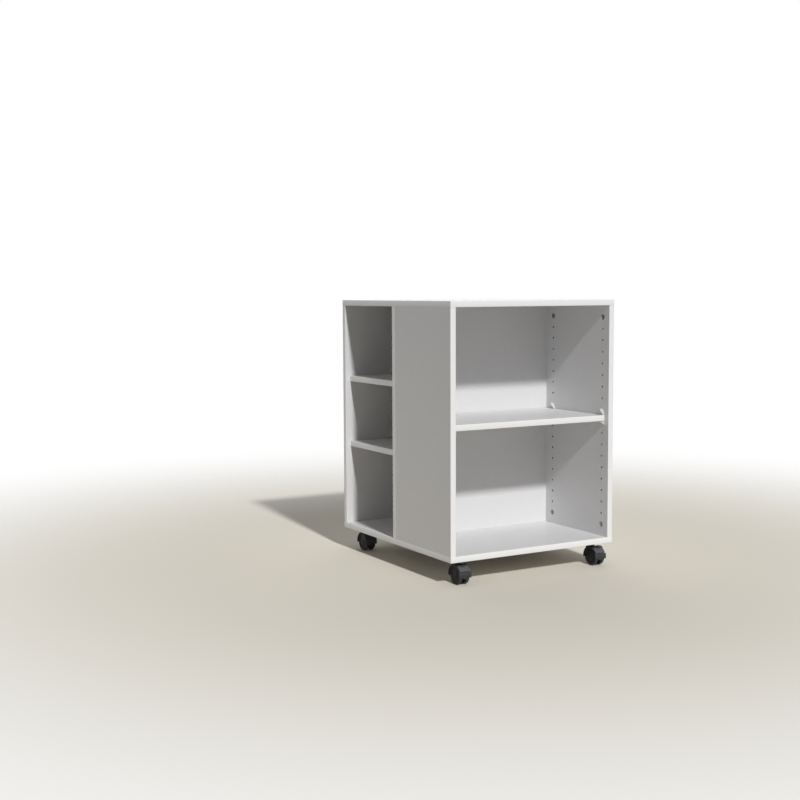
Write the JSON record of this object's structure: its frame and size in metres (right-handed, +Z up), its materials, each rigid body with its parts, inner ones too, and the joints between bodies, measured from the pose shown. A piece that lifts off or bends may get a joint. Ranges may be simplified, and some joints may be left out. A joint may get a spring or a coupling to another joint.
{
  "type": "utility cart",
  "caption": "Mobile open storage cart of grey melamine board: a front bay and a side bay with adjustable shelves, on swivelling caster wheels with brake pedals.",
  "frame": {"origin": "on the floor, under the middle of the cabinet", "axes": "+Z up; the front bay opens towards -Y and the side bay opens towards -X"},
  "size_m": [0.528, 0.5966, 0.734],
  "materials": {
    "board_laminate": "matt light grey melamine",
    "edge_band": "satin light grey",
    "support_plastic": "pale moulded",
    "zinc": "dull zinc die casting",
    "steel": "zinc plated",
    "dowel_wood": "plain beech",
    "caster_plastic": "fine grained",
    "pedal_plastic": "fine grained",
    "wheel_plastic": "smooth",
    "tyre_rubber": "matt"
  },
  "bodies": {
    "cabinet": {"top_panel": "board_laminate", "bottom_panel": "board_laminate", "left_side_panel": "board_laminate", "right_side_panel": "board_laminate", "partition_panel": "board_laminate", "rear_panel": "board_laminate", "front_shelf": "board_laminate", "side_shelf_lower": "board_laminate", "side_shelf_upper": "board_laminate", "top_panel_edging": "edge_band", "bottom_panel_edging": "edge_band", "left_side_panel_edging": "edge_band", "right_side_panel_edging": "edge_band", "partition_panel_edging": "edge_band", "rear_panel_edging": "edge_band", "front_shelf_edging": "edge_band", "side_shelf_lower_edging": "edge_band", "side_shelf_upper_edging": "edge_band", "front_shelf_supports": "support_plastic", "side_shelf_lower_supports": "support_plastic", "side_shelf_upper_supports": "support_plastic", "cam_locks": "zinc", "cam_bolts": "steel", "dowels": "dowel_wood", "caster_screws": "steel", "front_left_caster_plate": "steel", "front_left_caster_stem": "steel", "front_right_caster_plate": "steel", "front_right_caster_stem": "steel", "rear_left_caster_plate": "steel", "rear_left_caster_stem": "steel", "rear_right_caster_plate": "steel", "rear_right_caster_stem": "steel"},
    "front_left_swivel": {"front_left_caster_hood": "caster_plastic", "front_left_caster_axle": "steel"},
    "front_left_wheel_left": {"front_left_caster_wheel_left": "wheel_plastic", "front_left_caster_tyre_left": "tyre_rubber"},
    "front_left_wheel_right": {"front_left_caster_wheel_right": "wheel_plastic", "front_left_caster_tyre_right": "tyre_rubber"},
    "front_left_brake": {"front_left_caster_brake_pedal": "pedal_plastic"},
    "front_right_swivel": {"front_right_caster_hood": "caster_plastic", "front_right_caster_axle": "steel"},
    "front_right_wheel_left": {"front_right_caster_wheel_left": "wheel_plastic", "front_right_caster_tyre_left": "tyre_rubber"},
    "front_right_wheel_right": {"front_right_caster_wheel_right": "wheel_plastic", "front_right_caster_tyre_right": "tyre_rubber"},
    "front_right_brake": {"front_right_caster_brake_pedal": "pedal_plastic"},
    "rear_left_swivel": {"rear_left_caster_hood": "caster_plastic", "rear_left_caster_axle": "steel"},
    "rear_left_wheel_left": {"rear_left_caster_wheel_left": "wheel_plastic", "rear_left_caster_tyre_left": "tyre_rubber"},
    "rear_left_wheel_right": {"rear_left_caster_wheel_right": "wheel_plastic", "rear_left_caster_tyre_right": "tyre_rubber"},
    "rear_right_swivel": {"rear_right_caster_hood": "caster_plastic", "rear_right_caster_axle": "steel"},
    "rear_right_wheel_left": {"rear_right_caster_wheel_left": "wheel_plastic", "rear_right_caster_tyre_left": "tyre_rubber"},
    "rear_right_wheel_right": {"rear_right_caster_wheel_right": "wheel_plastic", "rear_right_caster_tyre_right": "tyre_rubber"}
  },
  "joints": [
    {"name": "front_left_swivel_turn", "type": "hinge", "parent": "cabinet", "child": "front_left_swivel", "pos_m": [-0.222, -0.253, 0.0425], "axis": [0, 0, 1], "continuous": true},
    {"name": "front_left_wheel_left_spin", "type": "hinge", "parent": "front_left_swivel", "child": "front_left_wheel_left", "pos_m": [-0.233, -0.273, 0.025], "axis": [1, 0, 0], "continuous": true},
    {"name": "front_left_wheel_right_spin", "type": "hinge", "parent": "front_left_swivel", "child": "front_left_wheel_right", "pos_m": [-0.211, -0.273, 0.025], "axis": [1, 0, 0], "continuous": true},
    {"name": "front_left_brake_press", "type": "hinge", "parent": "front_left_swivel", "child": "front_left_brake", "pos_m": [-0.222, -0.28723, 0.04777], "axis": [1, 0, 0], "range_deg": [0, 5]},
    {"name": "front_right_swivel_turn", "type": "hinge", "parent": "cabinet", "child": "front_right_swivel", "pos_m": [0.222, -0.253, 0.0425], "axis": [0, 0, 1], "continuous": true},
    {"name": "front_right_wheel_left_spin", "type": "hinge", "parent": "front_right_swivel", "child": "front_right_wheel_left", "pos_m": [0.211, -0.273, 0.025], "axis": [1, 0, 0], "continuous": true},
    {"name": "front_right_wheel_right_spin", "type": "hinge", "parent": "front_right_swivel", "child": "front_right_wheel_right", "pos_m": [0.233, -0.273, 0.025], "axis": [1, 0, 0], "continuous": true},
    {"name": "front_right_brake_press", "type": "hinge", "parent": "front_right_swivel", "child": "front_right_brake", "pos_m": [0.222, -0.28723, 0.04777], "axis": [1, 0, 0], "range_deg": [0, 5]},
    {"name": "rear_left_swivel_turn", "type": "hinge", "parent": "cabinet", "child": "rear_left_swivel", "pos_m": [-0.222, 0.253, 0.0425], "axis": [0, 0, 1], "continuous": true},
    {"name": "rear_left_wheel_left_spin", "type": "hinge", "parent": "rear_left_swivel", "child": "rear_left_wheel_left", "pos_m": [-0.233, 0.233, 0.025], "axis": [1, 0, 0], "continuous": true},
    {"name": "rear_left_wheel_right_spin", "type": "hinge", "parent": "rear_left_swivel", "child": "rear_left_wheel_right", "pos_m": [-0.211, 0.233, 0.025], "axis": [1, 0, 0], "continuous": true},
    {"name": "rear_right_swivel_turn", "type": "hinge", "parent": "cabinet", "child": "rear_right_swivel", "pos_m": [0.222, 0.253, 0.0425], "axis": [0, 0, 1], "continuous": true},
    {"name": "rear_right_wheel_left_spin", "type": "hinge", "parent": "rear_right_swivel", "child": "rear_right_wheel_left", "pos_m": [0.211, 0.233, 0.025], "axis": [1, 0, 0], "continuous": true},
    {"name": "rear_right_wheel_right_spin", "type": "hinge", "parent": "rear_right_swivel", "child": "rear_right_wheel_right", "pos_m": [0.233, 0.233, 0.025], "axis": [1, 0, 0], "continuous": true}
  ]
}
